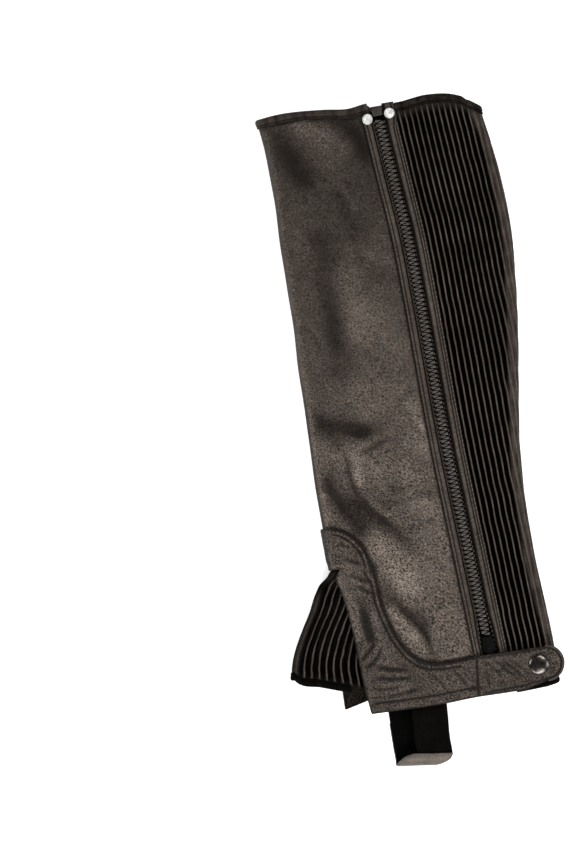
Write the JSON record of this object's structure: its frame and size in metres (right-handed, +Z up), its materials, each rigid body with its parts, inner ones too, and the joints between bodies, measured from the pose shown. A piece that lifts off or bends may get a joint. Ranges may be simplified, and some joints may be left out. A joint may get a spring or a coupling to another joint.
{
  "type": "half chap",
  "caption": "Brown leather half chap laid flat: long leg sleeve with ribbed stretch calf, side zip, snap tab, ankle guard, instep gusset and elastic foot strap.",
  "frame": {"origin": "middle of the bounding box, on the surface that the half chap lies on", "axes": "+Z up from the surface through the outer side, +Y along the leg towards the knee end, +X towards the back of the leg"},
  "size_m": [0.2223, 0.502, 0.0254],
  "materials": {
    "coil": "moulded plastic zip teeth",
    "dark_metal": "dark nickel, polished",
    "enamel": "black enamel",
    "leather": "grained brown leather, semi-matt",
    "nickel": "bright nickel with a hatched face",
    "ribbed": "ribbed stretch leather, matt",
    "tape": "dark woven zip tape",
    "trim": "smooth dark brown leather, stitched",
    "webbing": "black woven elastic"
  },
  "bodies": {
    "root": {"ankle_guard": "leather", "bottom_binding": "webbing", "foot_strap": "webbing", "gusset": "ribbed", "gusset_binding": "webbing", "inner_strip": "trim", "main_panel": "leather", "rivet_back": "nickel", "rivet_front": "nickel", "snap_cap": "dark_metal", "snap_socket": "dark_metal", "snap_stud": "dark_metal", "strap_patch": "leather", "strap_sleeve": "leather", "stretch_panel": "ribbed", "top_binding_leather": "trim", "top_binding_stretch": "trim", "zip_box": "enamel", "zip_chain": "coil", "zip_facing_back": "trim", "zip_facing_front": "trim", "zip_pull": "enamel", "zip_slider": "enamel", "zip_tape_back": "tape", "zip_tape_front": "tape"}
  },
  "joints": []
}
